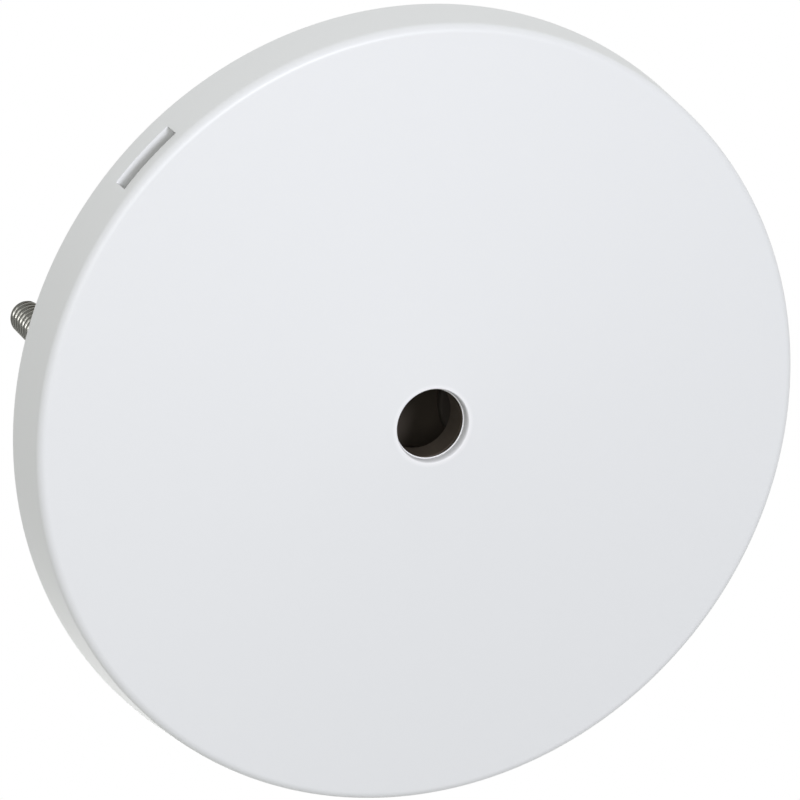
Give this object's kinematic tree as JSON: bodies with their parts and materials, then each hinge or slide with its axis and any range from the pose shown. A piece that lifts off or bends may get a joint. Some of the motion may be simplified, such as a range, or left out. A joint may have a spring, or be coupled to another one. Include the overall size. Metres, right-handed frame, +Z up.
{
  "type": "electrical ceiling rose",
  "caption": "Round white push-on ceiling rose cover over a black base with brass pillar terminals, a cord clamp and fixing screws that stand out of its back.",
  "frame": {"origin": "on the rose's axis, in the ceiling plane at the back of the base's flange", "axes": "+Z up into the ceiling, X through the two fixing screws; the cover's face looks along -Z"},
  "size_m": [0.115, 0.115, 0.038],
  "materials": {
    "cover_white": "fine spark-eroded grain",
    "base_black": "moulded, satin",
    "clamp_black": "moulded, satin",
    "screw_steel": "zinc plated",
    "terminal_screw_steel": "zinc plated",
    "terminal_brass": "milled",
    "grommet_rubber": "matte",
    "washer_fibre": "vulcanised fibre"
  },
  "bodies": {
    "base": {"base": "base_black", "cable_grommet": "grommet_rubber", "fixing_washer_left": "screw_steel", "fixing_washer_right": "screw_steel", "terminal_earth": "terminal_brass", "terminal_neutral": "terminal_brass", "terminal_loop": "terminal_brass", "terminal_live": "terminal_brass"},
    "cover": {"cover": "cover_white"},
    "cord_clamp": {"cord_clamp_bar": "clamp_black", "clamp_screw_earth_side": "terminal_screw_steel", "clamp_screw_live_side": "terminal_screw_steel"},
    "fixing_screw_left": {"fixing_screw_left": "screw_steel", "retaining_washer_left": "washer_fibre"},
    "fixing_screw_right": {"fixing_screw_right": "screw_steel", "retaining_washer_right": "washer_fibre"},
    "terminal_earth_cord_screw": {"terminal_earth_cord_screw": "terminal_screw_steel"},
    "terminal_earth_supply_screw": {"terminal_earth_supply_screw": "terminal_screw_steel"},
    "terminal_neutral_cord_screw": {"terminal_neutral_cord_screw": "terminal_screw_steel"},
    "terminal_neutral_supply_screw": {"terminal_neutral_supply_screw": "terminal_screw_steel"},
    "terminal_loop_cord_screw": {"terminal_loop_cord_screw": "terminal_screw_steel"},
    "terminal_loop_supply_screw": {"terminal_loop_supply_screw": "terminal_screw_steel"},
    "terminal_live_cord_screw": {"terminal_live_cord_screw": "terminal_screw_steel"},
    "terminal_live_supply_screw": {"terminal_live_supply_screw": "terminal_screw_steel"}
  },
  "joints": [
    {"name": "cover_pull", "type": "slide", "parent": "base", "child": "cover", "axis": [0, 0, -1], "range_m": [0, 0.045]},
    {"name": "cord_clamp_loosen", "type": "slide", "parent": "base", "child": "cord_clamp", "axis": [0, 0, -1], "range_m": [0, 0.003]},
    {"name": "fixing_screw_left_turn", "type": "hinge", "parent": "base", "child": "fixing_screw_left", "pos_m": [-0.04851, 0, 0], "axis": [0, 0, 1], "continuous": true},
    {"name": "fixing_screw_right_turn", "type": "hinge", "parent": "base", "child": "fixing_screw_right", "pos_m": [0.04851, 0, 0], "axis": [0, 0, 1], "continuous": true},
    {"name": "terminal_earth_cord_screw_drive", "type": "slide", "parent": "base", "child": "terminal_earth_cord_screw", "axis": [0, 0, 1], "range_m": [0, 0.0027]},
    {"name": "terminal_earth_supply_screw_drive", "type": "slide", "parent": "base", "child": "terminal_earth_supply_screw", "axis": [0, 0, 1], "range_m": [0, 0.0027]},
    {"name": "terminal_neutral_cord_screw_drive", "type": "slide", "parent": "base", "child": "terminal_neutral_cord_screw", "axis": [0, 0, 1], "range_m": [0, 0.0027]},
    {"name": "terminal_neutral_supply_screw_drive", "type": "slide", "parent": "base", "child": "terminal_neutral_supply_screw", "axis": [0, 0, 1], "range_m": [0, 0.0027]},
    {"name": "terminal_loop_cord_screw_drive", "type": "slide", "parent": "base", "child": "terminal_loop_cord_screw", "axis": [0, 0, 1], "range_m": [0, 0.0027]},
    {"name": "terminal_loop_supply_screw_drive", "type": "slide", "parent": "base", "child": "terminal_loop_supply_screw", "axis": [0, 0, 1], "range_m": [0, 0.0027]},
    {"name": "terminal_live_cord_screw_drive", "type": "slide", "parent": "base", "child": "terminal_live_cord_screw", "axis": [0, 0, 1], "range_m": [0, 0.0027]},
    {"name": "terminal_live_supply_screw_drive", "type": "slide", "parent": "base", "child": "terminal_live_supply_screw", "axis": [0, 0, 1], "range_m": [0, 0.0027]}
  ]
}
